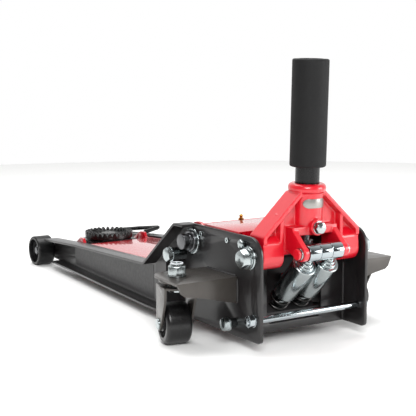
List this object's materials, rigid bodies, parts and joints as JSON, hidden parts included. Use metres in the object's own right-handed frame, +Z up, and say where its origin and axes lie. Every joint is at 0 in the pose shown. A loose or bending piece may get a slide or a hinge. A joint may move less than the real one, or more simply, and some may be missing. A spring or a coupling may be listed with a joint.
{
  "type": "hydraulic trolley jack",
  "caption": "Low hydraulic trolley jack: long black channel chassis, red lift arm with round toothed saddle, cast handle yoke, pump plungers and swivel casters.",
  "frame": {"origin": "on the floor, under the middle of the whole jack's bounding box", "axes": "+X to the jack's right, +Y from the handle towards the saddle, +Z up"},
  "size_m": [0.426, 0.9274, 0.4478],
  "materials": {
    "frame_black": "satin black powder coat",
    "bracket_black": "rough black hammer coat",
    "red_enamel": "gloss red enamel",
    "zinc": "bright zinc plate",
    "chrome": "polished chrome",
    "bare_steel": "oiled bright steel",
    "spring_black": "black oiled spring steel",
    "cast_black": "black cast iron",
    "cast_grey": "sand-cast grey iron",
    "tube_black": "satin black",
    "foam_black": "matte closed-cell foam",
    "wheel_black": "moulded black nylon",
    "front_wheel_black": "satin black",
    "bronze": "sintered bronze",
    "brass": "bright brass",
    "plate_silver": "satin aluminium, blank",
    "label_grey": "satin grey film, blank"
  },
  "bodies": {
    "chassis": {"side_plate_left": "frame_black", "side_plate_right": "frame_black", "plate_bosses": "zinc", "cross_wall": "frame_black", "tie_rod": "chrome", "yoke_pivot_bolts": "zinc", "link_anchor_bolts": "zinc", "pump_block_bolts": "zinc", "cover_fasteners": "zinc", "top_cover": "red_enamel", "caster_brackets": "bracket_black", "caster_kingpins": "zinc", "caster_nuts": "zinc", "caster_bearings": "bracket_black", "front_axle": "bare_steel", "main_shaft": "bare_steel", "pump_barrels": "zinc", "pump_block": "cast_grey", "plunger_springs": "spring_black", "ram_cylinder": "bare_steel", "oil_reservoir": "red_enamel", "side_labels": "label_grey", "carry_handle": "tube_black", "return_springs": "spring_black"},
    "lift_arm": {"arm_side_plates": "red_enamel", "arm_top_plate": "red_enamel", "arm_hub_tube": "red_enamel", "ram_lugs": "red_enamel", "ram_pin": "bare_steel", "grease_nipple": "brass", "saddle_pivot_pins": "bare_steel"},
    "saddle_carrier": {"saddle_carrier": "cast_black", "link_front_pins": "zinc"},
    "links": {"link_bars": "frame_black"},
    "saddle": {"saddle": "cast_black", "saddle_stem_screw": "zinc"},
    "ram": {"ram_piston_rod": "chrome", "ram_push_head": "bare_steel"},
    "yoke": {"handle_yoke": "red_enamel", "yoke_bushes": "bronze", "roller_pin": "red_enamel", "roller_pin_rings": "zinc", "name_plate": "plate_silver", "handle_clamp_bolt": "zinc"},
    "rollers": {"pump_rollers": "chrome"},
    "handle": {"handle_tube": "tube_black", "foam_grip": "foam_black", "release_drive": "bare_steel"},
    "release_valve": {"release_valve": "bare_steel"},
    "plunger_left": {"pump_plunger_left": "zinc"},
    "plunger_right": {"pump_plunger_right": "zinc"},
    "caster_fork_left": {"caster_fork_left": "bracket_black", "caster_axle_left": "zinc"},
    "caster_fork_right": {"caster_fork_right": "bracket_black", "caster_axle_right": "zinc"},
    "caster_wheel_left": {"caster_wheel_left": "wheel_black"},
    "caster_wheel_right": {"caster_wheel_right": "wheel_black"},
    "front_wheel_left": {"front_wheel_left": "front_wheel_black"},
    "front_wheel_right": {"front_wheel_right": "front_wheel_black"}
  },
  "joints": [
    {"name": "lift", "type": "hinge", "parent": "chassis", "child": "lift_arm", "pos_m": [0, -0.2403, 0.15], "axis": [1, 0, 0], "range_deg": [0, 50]},
    {"name": "saddle_level", "type": "hinge", "parent": "lift_arm", "child": "saddle_carrier", "pos_m": [0, 0.2847, 0.052], "axis": [1, 0, 0], "range_deg": [-50, 0]},
    {"name": "link_swing", "type": "hinge", "parent": "chassis", "child": "links", "pos_m": [0, -0.2083, 0.1245], "axis": [1, 0, 0], "range_deg": [0, 50]},
    {"name": "saddle_turn", "type": "hinge", "parent": "saddle_carrier", "child": "saddle", "pos_m": [0, 0.2847, 0.071], "axis": [0, 0, 1], "continuous": true},
    {"name": "ram_slide", "type": "slide", "parent": "chassis", "child": "ram", "axis": [0, 1, 0], "range_m": [0, 0.0499]},
    {"name": "handle_pump", "type": "hinge", "parent": "chassis", "child": "yoke", "pos_m": [0, -0.40605, 0.1462], "axis": [1, 0, 0], "range_deg": [0, 45], "stiffness_Nm_per_rad": 16, "springref_deg": -17.19},
    {"name": "roller_spin", "type": "hinge", "parent": "yoke", "child": "rollers", "pos_m": [0, -0.4505, 0.1526], "axis": [1, 0, 0], "continuous": true},
    {"name": "handle_twist", "type": "hinge", "parent": "yoke", "child": "handle", "pos_m": [0, -0.4099, 0.2482], "axis": [0, -0.0377, 0.9993], "range_deg": [0, 90]},
    {"name": "valve_turn", "type": "hinge", "parent": "chassis", "child": "release_valve", "pos_m": [0, -0.40605, 0.1462], "axis": [0, -0.7071, 0.7071], "range_deg": [0, 90]},
    {"name": "plunger_left_slide", "type": "slide", "parent": "chassis", "child": "plunger_left", "axis": [0, 0.7071, -0.7071], "range_m": [0, 0.0262], "deforming": ["plunger_springs"]},
    {"name": "plunger_right_slide", "type": "slide", "parent": "chassis", "child": "plunger_right", "axis": [0, 0.7071, -0.7071], "range_m": [0, 0.0262]},
    {"name": "caster_swivel_left", "type": "hinge", "parent": "chassis", "child": "caster_fork_left", "pos_m": [-0.181, -0.3153, 0.097], "axis": [0, 0, 1], "continuous": true},
    {"name": "caster_swivel_right", "type": "hinge", "parent": "chassis", "child": "caster_fork_right", "pos_m": [0.181, -0.3153, 0.097], "axis": [0, 0, 1], "continuous": true},
    {"name": "caster_roll_left", "type": "hinge", "parent": "caster_fork_left", "child": "caster_wheel_left", "pos_m": [-0.1774, -0.29971, 0.0335], "axis": [0.9744, -0.225, 0], "continuous": true},
    {"name": "caster_roll_right", "type": "hinge", "parent": "caster_fork_right", "child": "caster_wheel_right", "pos_m": [0.1774, -0.29971, 0.0335], "axis": [0.9744, 0.225, 0], "continuous": true},
    {"name": "front_roll_left", "type": "hinge", "parent": "chassis", "child": "front_wheel_left", "pos_m": [0, 0.4317, 0.032], "axis": [1, 0, 0], "continuous": true},
    {"name": "front_roll_right", "type": "hinge", "parent": "chassis", "child": "front_wheel_right", "pos_m": [0, 0.4317, 0.032], "axis": [1, 0, 0], "continuous": true}
  ],
  "couplings": [
    {"joint": "saddle_level", "follows": "lift", "ratio": -1},
    {"joint": "link_swing", "follows": "lift", "ratio": 1},
    {"joint": "ram_slide", "follows": "lift", "m_per_rad": 0.0571},
    {"joint": "plunger_left_slide", "follows": "handle_pump", "m_per_rad": 0.0333},
    {"joint": "plunger_right_slide", "follows": "handle_pump", "m_per_rad": 0.0333},
    {"joint": "valve_turn", "follows": "handle_twist", "ratio": 1}
  ]
}
